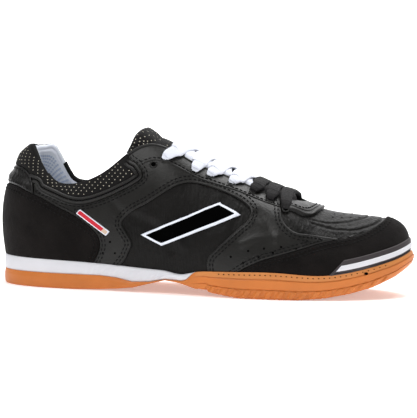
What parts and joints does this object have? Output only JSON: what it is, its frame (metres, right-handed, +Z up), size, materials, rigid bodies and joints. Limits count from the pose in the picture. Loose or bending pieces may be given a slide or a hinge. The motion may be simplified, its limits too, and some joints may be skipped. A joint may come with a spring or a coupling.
{
  "type": "indoor court shoe",
  "caption": "Low lace-up indoor court shoe for the right foot, black leather upper with suede heel and toe, white midsole wedge and gum rubber outsole.",
  "frame": {"origin": "middle of the shoe's outline on the floor it stands on", "axes": "+X from the heel to the toe, -Y to the outer (lateral) side, +Z up"},
  "size_m": [0.29, 0.1008, 0.1113],
  "materials": {
    "outsole": "matt gum rubber",
    "midsole": "matt white foam",
    "insole": "grey cloth",
    "upper": "soft black leather with a slight gloss",
    "heel_counter": "black suede",
    "heel_tab": "glossy black leather",
    "collar": "padded black cloth with light dots",
    "collar_lining": "white padded cloth",
    "mudguard": "black suede",
    "quarter_lateral": "smooth black leather",
    "quarter_medial": "smooth black leather",
    "throat_tab": "smooth black leather",
    "toe_strip": "dark grey rubber",
    "side_label": "woven red label",
    "tongue": "padded black cloth with light dots",
    "lace_white": "flat woven white lace",
    "lace_black": "flat woven black lace"
  },
  "bodies": {
    "root": {"outsole": "outsole", "midsole": "midsole", "insole": "insole", "upper": "upper", "heel_counter": "heel_counter", "heel_tab": "heel_tab", "collar": "collar", "collar_lining": "collar_lining", "mudguard": "mudguard", "quarter_lateral": "quarter_lateral", "quarter_medial": "quarter_medial", "throat_tab": "throat_tab", "toe_strip": "toe_strip", "side_label": "side_label", "tongue": "tongue", "lace_white": "lace_white", "lace_black": "lace_black"}
  },
  "joints": []
}
